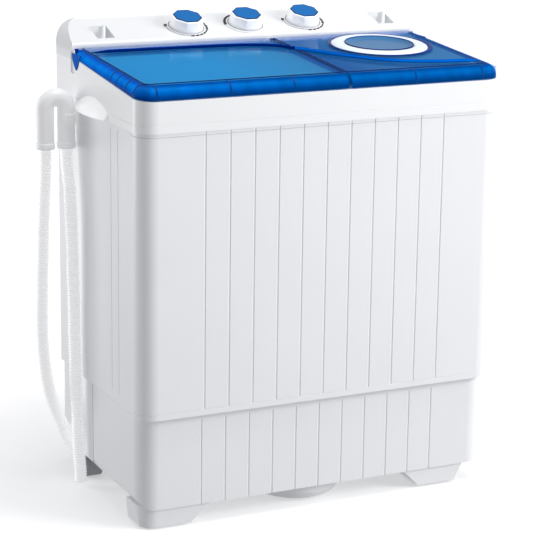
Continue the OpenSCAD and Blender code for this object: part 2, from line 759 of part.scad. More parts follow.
base();
foot_pads();
base_dish();
cabinet();
rear_cover();
screws();
top_frame();
console();
handle_left();
handle_right();
wash_tub();
spin_tub();
drive_frame();
pulsator_bearing();
pulsator_seal();
wash_motor();
drive_belt();
spin_motor();
motor_springs();
spin_seal();
drain_sump();
drain_pipe();
drain_elbow();
overflow_cover();
wash_timer();
drain_selector();
spin_timer();
dial_rings();
inlet_spouts();
capacitors();
lid_switch();
hinge_pins();
cord_gland();
drain_hose();
gooseneck();
hose_tail();
hose_clip();
wash_lid();
spin_lid();
spin_lid_ring();
safety_lid();
pulsator();
pulsator_screw();
pulsator_shaft();
wash_pulley();
motor_pulley();
spin_basket();
spin_shaft();
brake_drum();
brake_arm();
valve_plug();
lint_filter();
wash_knob();
wash_knob_cap();
selector_knob();
selector_knob_cap();
spin_knob();
spin_knob_cap();
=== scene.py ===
"""Looks of the twin tub washer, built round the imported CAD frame. Metres, in the frame of the CAD."""

import json
import math

import bpy
from mathutils import Matrix, Vector


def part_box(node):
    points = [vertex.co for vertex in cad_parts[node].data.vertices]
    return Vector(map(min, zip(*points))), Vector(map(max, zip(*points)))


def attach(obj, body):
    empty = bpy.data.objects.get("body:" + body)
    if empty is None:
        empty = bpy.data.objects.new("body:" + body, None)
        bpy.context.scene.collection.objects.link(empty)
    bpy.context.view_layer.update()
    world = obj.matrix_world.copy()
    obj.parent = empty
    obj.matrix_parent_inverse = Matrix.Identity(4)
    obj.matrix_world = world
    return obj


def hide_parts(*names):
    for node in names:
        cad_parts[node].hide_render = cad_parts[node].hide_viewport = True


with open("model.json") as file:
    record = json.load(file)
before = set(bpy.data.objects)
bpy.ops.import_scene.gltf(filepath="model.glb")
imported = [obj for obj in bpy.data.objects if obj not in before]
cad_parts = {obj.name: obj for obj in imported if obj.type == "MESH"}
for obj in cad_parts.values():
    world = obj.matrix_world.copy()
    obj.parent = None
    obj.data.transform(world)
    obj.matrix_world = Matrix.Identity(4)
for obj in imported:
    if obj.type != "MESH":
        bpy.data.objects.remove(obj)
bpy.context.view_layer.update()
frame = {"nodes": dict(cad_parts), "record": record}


# ---------- shared sizes ----------

BODY_HALF_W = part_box("top_frame")[1].x
BODY_HALF_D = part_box("top_frame")[1].y
LID_EDGE_Y = -0.200  # front edge of the lids' flat top
LID_EDGE_Z = 0.7994
LID_TILT = math.radians(3.72)
LID_BACK = 0.1095
LID_WALL = 0.0025
RIM_Z = 0.773  # front edge of the top frame's rim, under the lids
RIM_SLOPE = 0.098
RIM_CLEAR = 0.0015
SPLIT_X = 0.043
SEAM_GAP = 0.001
RING_CENTRE = (0.213, -0.006)
HINGE = (0.104, 0.813)  # depth and height of the lids' hinge line

FACE_Y = 0.118  # front edge of the console's face
FACE_Z = 0.828
FACE_TILT = math.radians(18.34)
KNOB_Y = 0.157
KNOB_X = [0.0115 + i * 0.1215 for i in (-1, 0, 1)]

HOSE_D = 0.024
HOSE_PITCH = 0.0052
RIB_STEPS = 4  # rings of points in each corrugation
HOSE_ROUTE = [
    (-0.366, 0.117, 0.078), (-0.376, 0.117, 0.100), (-0.386, 0.115, 0.122), (-0.397, 0.111, 0.148),
    (-0.407, 0.105, 0.177), (-0.415, 0.098, 0.208), (-0.421, 0.092, 0.242), (-0.425, 0.089, 0.282),
    (-0.426, 0.088, 0.324), (-0.425, 0.088, 0.365), (-0.424, 0.088, 0.405), (-0.422, 0.088, 0.445),
    (-0.421, 0.088, 0.485), (-0.419, 0.088, 0.520), (-0.417, 0.088, 0.555), (-0.415, 0.088, 0.590),
    (-0.414, 0.088, 0.620), (-0.414, 0.088, 0.645),
]
TAIL_ROUTE = [
    (-0.375, 0.088, 0.645), (-0.375, 0.087, 0.622), (-0.374, 0.083, 0.598), (-0.373, 0.078, 0.572),
    (-0.373, 0.074, 0.540), (-0.372, 0.072, 0.500), (-0.371, 0.071, 0.460), (-0.371, 0.071, 0.420),
    (-0.370, 0.071, 0.380), (-0.369, 0.072, 0.340), (-0.369, 0.072, 0.300), (-0.368, 0.072, 0.260),
    (-0.368, 0.071, 0.220), (-0.367, 0.070, 0.180), (-0.366, 0.068, 0.140), (-0.366, 0.066, 0.100),
    (-0.365, 0.064, 0.060), (-0.364, 0.061, 0.030), (-0.364, 0.060, 0.010),
]


# ---------- camera ----------

def make_camera():
    yaw, pitch, roll = (math.radians(a) for a in (25.470, 14.511, 0.734))
    ahead = Vector((math.sin(yaw) * math.cos(pitch), math.cos(yaw) * math.cos(pitch), -math.sin(pitch)))
    right = Vector((math.cos(yaw), -math.sin(yaw), 0))
    up = right.cross(ahead)
    turned_right = right * math.cos(roll) + up * math.sin(roll)
    turned_up = up * math.cos(roll) - right * math.sin(roll)
    data = bpy.data.cameras.new("camera")
    data.lens = 137.38
    data.sensor_width = 36
    camera = bpy.data.objects.new("camera", data)
    bpy.context.scene.collection.objects.link(camera)
    turn = Matrix((turned_right, turned_up, -ahead)).transposed()
    camera.matrix_world = Matrix.Translation((-1.6018, -3.3385, 1.3625)) @ turn.to_4x4()
    bpy.context.scene.camera = camera


# ---------- materials ----------

DRIFT_SCALE = 6.0  # scale of the slow drift in colour and gloss
# Colour of the painted glow on white parts that are no lamps: hoses, U bend, clip, handles and knobs.
WHITE_GLOW = (1, 1, 1, 1)


def tree_of(name):
    material = bpy.data.materials.new(name)
    material.use_nodes = True
    return material, material.node_tree


def noise(tree, place, scale, detail):
    node = tree.nodes.new("ShaderNodeTexNoise")
    node.inputs["Scale"].default_value = scale
    node.inputs["Detail"].default_value = detail
    tree.links.new(place, node.inputs["Vector"])
    return node.outputs["Fac"]


def surface(name, colour, rough, grain=400.0, depth=0.00006, shade=0.04, stretch=(1, 1, 1), **sockets):
    """A principled surface with fine grain, a little colour drift and uneven gloss."""
    material, tree = tree_of(name)
    shader = tree.nodes["Principled BSDF"]
    place = tree.nodes.new("ShaderNodeTexCoord")
    mapping = tree.nodes.new("ShaderNodeMapping")
    mapping.inputs["Scale"].default_value = stretch
    tree.links.new(place.outputs["Object"], mapping.inputs["Vector"])
    drift = noise(tree, mapping.outputs["Vector"], DRIFT_SCALE, 4.0)
    fine = noise(tree, mapping.outputs["Vector"], grain, 2.0)
    tint = tree.nodes.new("ShaderNodeMix")
    tint.data_type = "RGBA"
    tint.inputs["A"].default_value = (*[c * (1 - shade) for c in colour], 1)
    tint.inputs["B"].default_value = (*colour, 1)
    tree.links.new(drift, tint.inputs["Factor"])
    tree.links.new(tint.outputs["Result"], shader.inputs["Base Color"])
    gloss = tree.nodes.new("ShaderNodeMapRange")
    gloss.inputs["To Min"].default_value = rough * 0.85
    gloss.inputs["To Max"].default_value = min(1.0, rough * 1.15)
    tree.links.new(drift, gloss.inputs["Value"])
    tree.links.new(gloss.outputs["Result"], shader.inputs["Roughness"])
    bump = tree.nodes.new("ShaderNodeBump")
    bump.inputs["Distance"].default_value = depth
    tree.links.new(fine, bump.inputs["Height"])
    tree.links.new(bump.outputs["Normal"], shader.inputs["Normal"])
    for socket, value in sockets.items():
        shader.inputs[socket.replace("_", " ")].default_value = value
    return material


def painted(name, rough, **sockets):
    """A moulded surface that takes its colour from the piece's own vertex colours."""
    material = surface(name, (1, 1, 1), rough, shade=0.0, **sockets)
    tree = material.node_tree
    colour = tree.nodes.new("ShaderNodeVertexColor")
    colour.layer_name = "Col"
    tree.links.new(colour.outputs["Color"], tree.nodes["Principled BSDF"].inputs["Base Color"])
    return material


def make_materials():
    brushed = {"grain": 90.0, "stretch": (1, 1, 14), "Metallic": 1.0}
    moulded = {"Coat_Weight": 0.15, "Coat_Roughness": 0.2}
    low_coat = {"Coat_Weight": 0.1, "Coat_Roughness": 0.2}
    return {
        "body_white": surface("body_white", (0.86, 0.87, 0.89), 0.32, **moulded),
        "console_white": surface("console_white", (0.79, 0.80, 0.815), 0.34, **low_coat),
        # Painted light: the top frame is a lighter copy of the body white, lifting it out of the shade under
        # the lids.
        "frame_white_lit": surface("frame_white_lit", (0.93, 0.94, 0.955), 0.30, **moulded),
        "tub_white": surface("tub_white", (0.84, 0.87, 0.90), 0.28, grain=250),
        "rubber_dark": surface("rubber_dark", (0.035, 0.035, 0.038), 0.75, grain=700, depth=0.0002),
        "steel_zinc": surface("steel_zinc", (0.60, 0.62, 0.65), 0.34, depth=0.0001, **brushed),
        "motor_steel": surface("motor_steel", (0.10, 0.11, 0.13), 0.45, grain=600, depth=0.0002),
        "plastic_grey": surface("plastic_grey", (0.42, 0.44, 0.47), 0.42, grain=500, depth=0.0001),
        # Painted glow: these whites glow a little though the hoses, U bend, clip and handles are no lamps;
        # the handles also take the lighter frame white.
        "hose_white": surface("hose_white", (0.93, 0.93, 0.94), 0.38, grain=300, Emission_Color=WHITE_GLOW,
                              Emission_Strength=0.29),
        "bend_white_glowing": surface("bend_white_glowing", (0.90, 0.90, 0.91), 0.34, grain=300, Emission_Color=WHITE_GLOW,
                              Emission_Strength=0.12),
        "handle_white_glowing": surface("handle_white_glowing", (0.93, 0.94, 0.955), 0.30, Emission_Color=WHITE_GLOW,
                                Emission_Strength=0.22),
        "ring_silver": surface("ring_silver", (0.80, 0.81, 0.83), 0.30, grain=900),
        "capacitor_cream": surface("capacitor_cream", (0.62, 0.58, 0.48), 0.40, grain=350),
        "lid_blue": surface("lid_blue", (0.0, 0.19, 0.70), 0.04, shade=0.1, depth=0.00001, Alpha=0.24,
                            Specular_IOR_Level=0.05),
        "ring_white": surface("ring_white", (0.84, 0.92, 1.0), 0.2, grain=500, Specular_IOR_Level=0.2),
        "safety_clear": surface("safety_clear", (0.60, 0.72, 0.84), 0.10, Alpha=0.45,
                                Specular_IOR_Level=0.3),
        "pulsator_blue": surface("pulsator_blue", (0.50, 0.64, 0.80), 0.22, grain=300),
        "pad_grey": surface("pad_grey", (0.32, 0.33, 0.345), 0.7, grain=700, depth=0.0002),
        "pulley_metal": surface("pulley_metal", (0.28, 0.29, 0.31), 0.45, grain=300, depth=0.0002,
                                Metallic=1.0),
        "basket_plastic": surface("basket_plastic", (0.72, 0.80, 0.86), 0.24, grain=300),
        "filter_blue": surface("filter_blue", (0.18, 0.32, 0.52), 0.50, grain=800, depth=0.0003),
        # Painted glow: the knob white glows a little though the knobs are no lamps.
        "knob_white": surface("knob_white", (0.93, 0.94, 0.96), 0.28, grain=500, Emission_Color=WHITE_GLOW,
                              Emission_Strength=0.18),
        "cap_blue": surface("cap_blue", (0.002, 0.13, 0.38), 0.3, grain=700, Specular_IOR_Level=0.15),
    }


def dress_cad_nodes(materials):
    """Every CAD node gets the material of its slot; a few mouldings get their own: the top frame a lighter
    white as painted light, the handles, U bend and clip a white with a painted glow, the console a darker
    white.
    """
    own = {"top_frame": "frame_white_lit", "handle_left": "handle_white_glowing", "handle_right": "handle_white_glowing",
           "console": "console_white", "gooseneck": "bend_white_glowing", "hose_clip": "bend_white_glowing"}
    for part in frame["record"]["subparts"]:
        node = frame["nodes"][part["node"]]
        node.data.materials.clear()
        node.data.materials.append(materials[own.get(part["node"], part["material_slot"])])


# ---------- mesh helpers ----------

def piece(name, points, faces, material, body, smooth=True, colours=None):
    mesh = bpy.data.meshes.new(name)
    mesh.from_pydata([tuple(p) for p in points], [], faces)
    mesh.validate()
    mesh.materials.append(material)
    for face in mesh.polygons:
        face.use_smooth = smooth
    if colours:
        layer = mesh.color_attributes.new("Col", "FLOAT_COLOR", "POINT")
        for value, colour in zip(layer.data, colours):
            value.color = (*colour, 1)
    made = bpy.data.objects.new(name, mesh)
    bpy.context.scene.collection.objects.link(made)
    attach(made, body)
    return made


def smooth_route(points, step):
    """Points at even steps on a smooth curve through the route's points."""
    route = [Vector(p) for p in points]
    dense = []
    for i in range(len(route) - 1):
        before = route[max(i - 1, 0)]
        after = route[min(i + 2, len(route) - 1)]
        a, b = route[i], route[i + 1]
        for k in range(16):
            t = k / 16
            dense.append(
                0.5 * (2 * a + (b - before) * t + (2 * before - 5 * a + 4 * b - after) * t * t
                       + (3 * a - 3 * b + after - before) * t ** 3)
            )
    dense.append(route[-1])
    total = sum((dense[i + 1] - dense[i]).length for i in range(len(dense) - 1))
    count = max(2, round(total / step))
    even, i, walked = [dense[0]], 0, 0.0
    for n in range(1, count):
        target = total * n / count
        while walked + (dense[i + 1] - dense[i]).length < target:
            walked += (dense[i + 1] - dense[i]).length
            i += 1
        even.append(dense[i].lerp(dense[i + 1], (target - walked) / (dense[i + 1] - dense[i]).length))
    return even + [dense[-1]]


def sweep(centres, outline, hint, closed=True, caps=True):
    """Faces and points of an outline carried along a line. outline(i) gives (side, up) pairs at ring i."""
    points, faces = [], []
    count = len(outline(0))
    for i, c in enumerate(centres):
        ahead = (centres[min(i + 1, len(centres) - 1)] - centres[max(i - 1, 0)]).normalized()
        side = ahead.cross(Vector(hint)).normalized()
        up = side.cross(ahead)
        points += [c + side * a + up * b for a, b in outline(i)]
    for i in range(len(centres) - 1):
        for k in range(count if closed else count - 1):
            n = (k + 1) % count
            faces.append((i * count + k, i * count + n, (i + 1) * count + n, (i + 1) * count + k))
    if caps and closed:
        faces.append(tuple(reversed(range(count))))
        faces.append(tuple((len(centres) - 1) * count + k for k in range(count)))
    return points, faces


def circle(radius, sides=20):
    return [(radius * math.cos(2 * math.pi * k / sides), radius * math.sin(2 * math.pi * k / sides))
            for k in range(sides)]


def ring_faces(rings, sides):
    """Faces between rings of points, each ring closed."""
    spans = [(k, (k + 1) % sides) for k in range(sides)]
    return [(i * sides + k, i * sides + n, (i + 1) * sides + n, (i + 1) * sides + k)
            for i in range(rings - 1) for k, n in spans]


def lathe(profile, place, sides=64):
    """Points and faces of a turned shape: profile is (radius, height) pairs, place maps to the frame."""
    points = [place @ Vector((x, y, z)) for r, z in profile for x, y in circle(r, sides)]
    return points, ring_faces(len(profile), sides)


# ---------- hoses ----------

def corrugated_hose(name, route, node, material):
    centres = smooth_route(route, HOSE_PITCH / RIB_STEPS)
    dip = 0.0024

    def outline(i):
        return circle(HOSE_D / 2 - dip * (0.5 - 0.5 * math.cos(2 * math.pi * i / RIB_STEPS)), 24)

    points, faces = sweep(centres, outline, (0, 1, 0))
    hose = piece(name, points, faces, material, "cabinet")
    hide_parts(node)
    length = sum((centres[i + 1] - centres[i]).length for i in range(len(centres) - 1))
    return hose, centres, length


def make_hoses(materials):
    # The hose white carries a painted glow.
    white = materials["hose_white"]
    rise, path, length = corrugated_hose("drain_hose_corrugated", HOSE_ROUTE, "drain_hose", white)
    tail, path, length = corrugated_hose("hose_tail_corrugated", TAIL_ROUTE, "hose_tail", white)


def elbow_cuff(material):
    """Ribbed rubber cuff on the drain elbow."""
    start, ahead = Vector(HOSE_ROUTE[0]), (Vector(HOSE_ROUTE[1]) - Vector(HOSE_ROUTE[0])).normalized()
    cuff_r, rib, rings = 0.0136, 0.0010, 24
    centres = [start + ahead * (0.0015 * i - 0.006) for i in range(rings)]
    radii = [cuff_r + rib * (0.5 + 0.5 * math.cos(2 * math.pi * i / RIB_STEPS)) for i in range(rings)]
    points, faces = sweep(centres, lambda i: circle(radii[i], 28), (0, 1, 0))
    piece("elbow_cuff", points, faces, material, "cabinet")


def bend_collars(material):
    """Collar at the foot of each leg of the U bend."""
    low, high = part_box("gooseneck")
    leg_r = 0.0165
    for name, x in (("bend_collar_left", low.x + leg_r), ("bend_collar_right", high.x - leg_r)):
        place = Matrix.Translation((x, (low.y + high.y) / 2, low.z))
        profile = [(leg_r - 0.004, -0.0015), (leg_r + 0.0008, -0.0015), (leg_r + 0.0012, 0.001),
                   (leg_r + 0.0012, 0.008), (leg_r + 0.0004, 0.010), (leg_r - 0.002, 0.010)]
        points, faces = lathe(profile, place, 40)
        piece(name, points, faces, material, "cabinet")


# ---------- lines of the cabinet ----------

def cabinet_top_line():
    """Hairline round the top of the cabinet's front and a little way along its sides."""
    z, half_w, front, corner, back, line_r = 0.7115, 0.3535, -0.2185, 0.0325, -0.175, 0.0006
    pale = surface("line_grey", (0.62, 0.63, 0.65), 0.5, grain=700)
    route = [(-half_w, back), (-half_w, front + corner)]
    route += [(-half_w + corner * (1 - math.cos(a)), front + corner * (1 - math.sin(a)))
              for a in [math.radians(10 * k) for k in range(1, 10)]]
    route += [(-0.15, front)]
    route += [(-x, y) for x, y in reversed(route)]
    centres = [Vector((x, y, z)) for x, y in route]
    points, faces = sweep(centres, lambda i: circle(line_r, 6), (0, 0, 1))
    piece("cabinet_top_line", points, faces, pale, "cabinet")


def seam_shades():
    """Painted shade: a dark strip on the floor of the groove down each side of the base."""
    shade = surface("groove_shade", (0.30, 0.31, 0.33), 0.6, grain=700)
    y0, y1, z0, z1 = 0.0307, 0.0328, 0.047, 0.204
    for name, side in (("seam_shade_left", -1), ("seam_shade_right", 1)):
        x0, x1 = side * 0.3478, side * 0.3484
        points = [(x, y, z) for x in (x0, x1) for y, z in ((y0, z0), (y1, z0), (y1, z1), (y0, z1))]
        faces = [(0, 1, 2, 3), (7, 6, 5, 4), (0, 4, 5, 1), (1, 5, 6, 2), (2, 6, 7, 3), (3, 7, 4, 0)]
        piece(name, points, faces, shade, "cabinet", smooth=False)


# ---------- floor and light ----------

def make_stage():
    """A pale floor that glows more away from the machine, so that it stays even to its far edge."""
    floor = surface("floor_white", (0.80, 0.80, 0.81), 0.9, grain=60, Emission_Color=WHITE_GLOW)
    tree = floor.node_tree
    place = tree.nodes.new("ShaderNodeTexCoord")
    reach = tree.nodes.new("ShaderNodeVectorMath")
    reach.operation = "LENGTH"
    glow = tree.nodes.new("ShaderNodeMapRange")
    glow.inputs["From Min"].default_value = 0.6
    glow.inputs["From Max"].default_value = 3.0
    glow.inputs["To Min"].default_value = 0.34
    glow.inputs["To Max"].default_value = 0.90
    tree.links.new(place.outputs["Object"], reach.inputs[0])
    tree.links.new(reach.outputs["Value"], glow.inputs["Value"])
    tree.links.new(glow.outputs["Result"], tree.nodes["Principled BSDF"].inputs["Emission Strength"])
    size = 40.0
    corners = [(-size, -size, 0), (size, -size, 0), (size, size, 0), (-size, size, 0)]
    mesh = bpy.data.meshes.new("floor")
    mesh.from_pydata(corners, [], [(0, 1, 2, 3)])
    mesh.materials.append(floor)
    plane = bpy.data.objects.new("floor", mesh)
    bpy.context.scene.collection.objects.link(plane)
    plane.visible_diffuse = False


def area_light(name, place, aim, width, height, power):
    data = bpy.data.lights.new(name, "AREA")
    data.shape = "RECTANGLE"
    data.size = width
    data.size_y = height
    data.energy = power
    lamp = bpy.data.objects.new(name, data)
    lamp.location = place
    lamp.rotation_mode = "QUATERNION"
    lamp.rotation_quaternion = (Vector(aim) - Vector(place)).to_track_quat("-Z", "Y")
    bpy.context.scene.collection.objects.link(lamp)


def make_lights():
    centre = (0, 0, 0.45)
    area_light("key", (3.0, -2.6, 1.9), centre, 2.0, 2.2, 132)
    area_light("left", (-2.7, 2.1, 1.0), centre, 1.4, 2.0, 33)
    area_light("top", (0.3, -0.4, 3.2), centre, 2.0, 1.6, 44)
    world = bpy.data.worlds.new("studio")
    world.use_nodes = True
    bpy.context.scene.world = world
    world.node_tree.nodes["Background"].inputs["Color"].default_value = (0.97, 0.98, 1, 1)
    world.node_tree.nodes["Background"].inputs["Strength"].default_value = 0.42
    bpy.context.scene.view_settings.view_transform = "Standard"


# ---------- lids ----------

NAVY = (0.0, 0.010, 0.10)
DEEP = (0.0, 0.045, 0.34)
BRIGHT = (0.0, 0.14, 0.66)
# Painted highlight: the brightest blue, along the middle of the rolled edge.
HIGHLIGHT_STREAK = (0.0, 0.24, 0.86)
# colours of the moulded panels in front of the ridge and behind it, at each lid's left and then its right:
# painted light and shade of the tubs seen through the clear covers, the wash lid darkening towards its right
# and the spin lid darkest at its left
WASH_TONES = (((0.02, 0.43, 0.66), (0.03, 0.17, 0.28)), ((0.05, 0.32, 0.42), (0.02, 0.12, 0.22)))
SPIN_TONES = (((0.0, 0.03, 0.12), (0.0, 0.06, 0.19)), ((0.05, 0.22, 0.32), (0.07, 0.23, 0.30)))
RIDGE = [(-0.332, 0.066), (-0.221, 0.065), (-0.123, 0.062), (-0.040, 0.056), (0.020, 0.036), (0.060, -0.012),
         (0.105, -0.072), (0.170, -0.135), (0.250, -0.163), (0.333, -0.171)]
RIB_X = [-0.322, -0.186, -0.065, 0.175, 0.312]
SIDE_RIB_Y = [-0.188, -0.151, -0.109, -0.081]


def lid_z(y):
    return LID_EDGE_Z + (y - LID_EDGE_Y) * math.tan(LID_TILT)


def on_lid(x, y, rise=0.0):
    return Vector((x, y, lid_z(y) + rise))


def ridge_y(x):
    """Depth of the curved ridge at x."""
    for (x0, y0), (x1, y1) in zip(RIDGE, RIDGE[1:]):
        if x <= x1:
            t = max(0.0, (x - x0) / (x1 - x0))
            return y0 + (y1 - y0) * t * t * (3 - 2 * t)
    return RIDGE[-1][1]


def mix(a, b, share):
    return [p + (q - p) * min(1.0, max(0.0, share)) for p, q in zip(a, b)]


def lid_panel(name, x0, x1, tones, turn_x, body, material):
    """Moulded panel under the clear cover, stepped along the ridge, with a lip at its edge; its colours are
    painted light and shade of the tub seen through the cover.
    """
    y0, y1 = LID_EDGE_Y + 0.004, LID_BACK - 0.003
    outer = x0 if x0 < 0 else x1
    columns, rows = 96, 60
    drop, step, blend = 0.0085, 0.0035, 0.012
    lip_depth, lip_width = 0.010, 0.006
    points, colours, faces = [], [], []
    for j in range(rows + 1):
        for i in range(columns + 1):
            x = x0 + (x1 - x0) * i / columns
            y = y0 + (y1 - y0) * j / rows
            behind = min(1.0, max(0.0, (y - ridge_y(x)) / blend + 0.5))
            edge = min(abs(x - outer), y - y0, y1 - y)
            lip = lip_depth * max(0.0, 1 - edge / lip_width)
            points.append(on_lid(x, y, -drop + step * behind - lip))
            share = (x - turn_x[0]) / (turn_x[1] - turn_x[0])
            front, back = mix(tones[0][0], tones[1][0], share), mix(tones[0][1], tones[1][1], share)
            colours.append(mix(front, back, behind) if lip == 0 else DEEP)
    for j in range(rows):
        for i in range(columns):
            a = j * (columns + 1) + i
            faces.append((a, a + 1, a + columns + 2, a + columns + 1))
    return piece(name, points, faces, material, body, colours=colours)


def lid_line(name, corners, body, material, radius=0.0011, rise=0.0, step=0.006):
    """A thin moulded line on the lid along straight or curved stretches."""
    route = [on_lid(x, y, rise) for x, y in corners]
    centres = smooth_route(route, step)
    points, faces = sweep(centres, lambda i: circle(radius, 8), (0, 0, 1))
    return piece(name, points, faces, material, body)


def ridge_bead(name, x0, x1, body, material):
    """The raised fold along the ridge: dark at its back, with a painted highlight on its front slope on the
    spin lid.
    """
    inside = [(x, y) for x, y in RIDGE if x0 < x < x1]
    ends = [(x0, ridge_y(x0))] + inside + [(x1, ridge_y(x1))]
    step = 0.004
    centres = smooth_route([on_lid(x, y) for x, y in ends], step)
    last = len(centres) - 1
    fade = 0.035 / step

    def outline(i):
        far = i if x0 < 0 else last - i
        size = min(1.0, 0.15 + far / fade)
        return [(0.0070 * size, -0.0008), (0.0045 * size, 0.0026 * size), (0.001, 0.0044 * size),
                (-0.0030 * size, 0.0036 * size), (-0.006 * size, -0.0008)]

    points, faces = sweep(centres, outline, (0, 0, 1), closed=False)
    # Painted highlight: the spin lid's front slope is bright blue; the wash lid's stays navy.
    slope = NAVY if x0 < 0 else BRIGHT
    colours = [c for _ in centres for c in (NAVY, slope, DEEP, NAVY, NAVY)]
    return piece(name, points, faces, material, body, colours=colours)


def rim_path(side):
    """Points on a lid's outer edge from the seam round the corner to the back, with outward directions."""
    corner = 0.034
    front, outer = -BODY_HALF_D, side * BODY_HALF_W
    seam = SPLIT_X + side * (SEAM_GAP + LID_WALL)
    turn_x = outer - side * corner
    along = [(Vector((seam + (turn_x - seam) * i / 60, front)), Vector((0, -1))) for i in range(61)]
    for k in range(1, 13):
        a = math.pi / 2 * k / 12
        out = Vector((side * math.sin(a), -math.cos(a)))
        along.append((Vector((turn_x, front + corner)) + out * corner, out))
    last = LID_BACK - 0.004
    along += [(Vector((outer, front + corner + (last - front - corner) * i / 50)), Vector((side, 0)))
              for i in range(1, 51)]
    return along


ROLL = [(0.0010, 0.0245), (0.0011, 0.0190), (0.0024, 0.0132), (0.0056, 0.0077), (0.0092, 0.0045),
        (0.0136, 0.0023), (0.0210, 0.0011)]
# Tones of the rows of the rolled edge, with a painted highlight in the middle rows.
ROLL_TONE = [NAVY, DEEP, BRIGHT, HIGHLIGHT_STREAK, BRIGHT, DEEP, DEEP]


def rim_strip(path, proud):
    """Rows of points that follow the lids' rolled edge from inside, moved out by proud."""
    rows = []
    for place, out in path:
        top = lid_z(max(place.y, LID_EDGE_Y))
        room = top - (RIM_Z + RIM_SLOPE * (place.y + BODY_HALF_D)) - RIM_CLEAR
        row = []
        for inset, drop in ROLL:
            level = min(drop, room) - proud * (1 if inset > 0.006 else 0)
            at = place - out * (inset - proud)
            row.append(Vector((at.x, at.y, top - level)))
        rows.append(row)
    return rows


def grid_faces(rows, columns, start=0):
    return [(start + i * columns + k, start + i * columns + k + 1, start + (i + 1) * columns + k + 1,
             start + (i + 1) * columns + k) for i in range(rows - 1) for k in range(columns - 1)]


def rim_painted_light(x, facing):
    """Painted light on the rolled edge: lightest at the left side, darker along the front towards the right.
    """
    along = min(1.0, max(0.0, (x + BODY_HALF_W) / (SPLIT_X + BODY_HALF_W)))
    front = 1.05 - 0.5 * along
    return front * facing + (1.6 if x < 0 else 0.8) * (1 - facing)


def rim_liner(name, side, body, material):
    """Inner wall behind the clear rolled edge, with a painted highlight along its middle broken into uneven
    streaks.
    """
    path = rim_path(side)
    rows = rim_strip(path, 0.0)
    points = [p for row in rows for p in row]
    colours = []
    for i, (place, out) in enumerate(path):
        # Painted light: uneven highlight streaks along the edge, times how lit the edge is at each place.
        level = (0.86 + 0.14 * math.sin(i * 0.83) * math.sin(i * 0.31 + 1)) * rim_painted_light(place.x, -out.y)
        colours += [[min(1.0, c * level) for c in tone] for tone in ROLL_TONE]
    return piece(name, points, grid_faces(len(rows), len(ROLL)), material, body, colours=colours)


def rim_ribs(name, side, places, side_places, body, material):
    """Stiffening ribs between the liner and the clear edge."""
    half = 0.0014
    marks = [(Vector((x, -BODY_HALF_D)), Vector((0, -1)), Vector((half, 0))) for x in places]
    marks += [(Vector((side * BODY_HALF_W, y)), Vector((side, 0)), Vector((0, half))) for y in side_places]
    points, faces = [], []
    for place, out, wide in marks:
        low_row = rim_strip([(place - wide, out), (place + wide, out)], 0.0)
        top_row = rim_strip([(place - wide, out), (place + wide, out)], 0.0006)
        start, count = len(points), len(ROLL)
        for row in (low_row[0], top_row[0], top_row[1], low_row[1]):
            points += row
        faces += grid_faces(4, count, start)
    return piece(name, points, faces, material, body, smooth=False)


def ear_liner(name, side, body, material):
    """Core of the lid's ear, inside its clear skin."""
    outline = [(0.0715, 0.8030), (0.0748, 0.7974), (0.0808, 0.7907), (0.0857, 0.7842), (0.0888, 0.7834),
               (0.0952, 0.7886), (0.1032, 0.7976), (0.1072, 0.8045), (0.1072, 0.8115), (0.0660, 0.8115)]
    count = len(outline)
    points = [(side * (BODY_HALF_W - depth), y, z) for depth in (0.0005, 0.0016) for y, z in outline]
    faces = [tuple(range(count)), tuple(reversed(range(count, 2 * count)))]
    faces += [(k, (k + 1) % count, count + (k + 1) % count, count + k) for k in range(count)]
    colours = [tone for tone in (BRIGHT, DEEP) for _ in outline]
    return piece(name, points, faces, material, body, smooth=False, colours=colours)


def hinge_hood(name, x0, x1, body, material):
    """Quarter sleeve of the lid over the front and top of a hinge lug."""
    inner, outer = 0.0060, 0.0067
    angles = [math.radians(98 + 102 * k / 16) for k in range(17)]
    ring = [(r, a) for r in (inner, outer) for a in angles]
    points = [(x, HINGE[0] + r * math.cos(a), HINGE[1] + r * math.sin(a)) for x in (x0, x1) for r, a in ring]
    side = len(angles)
    step = len(ring)
    faces = []
    for k in range(side - 1):
        for base in (0, side):
            faces.append((base + k, base + k + 1, step + base + k + 1, step + base + k))
        for end in (0, step):
            faces.append((end + k, end + k + 1, end + side + k + 1, end + side + k))
    for k in (0, side - 1):
        faces.append((k, side + k, step + side + k, step + k))
    return piece(name, points, faces, material, body, colours=[DEEP] * len(points))


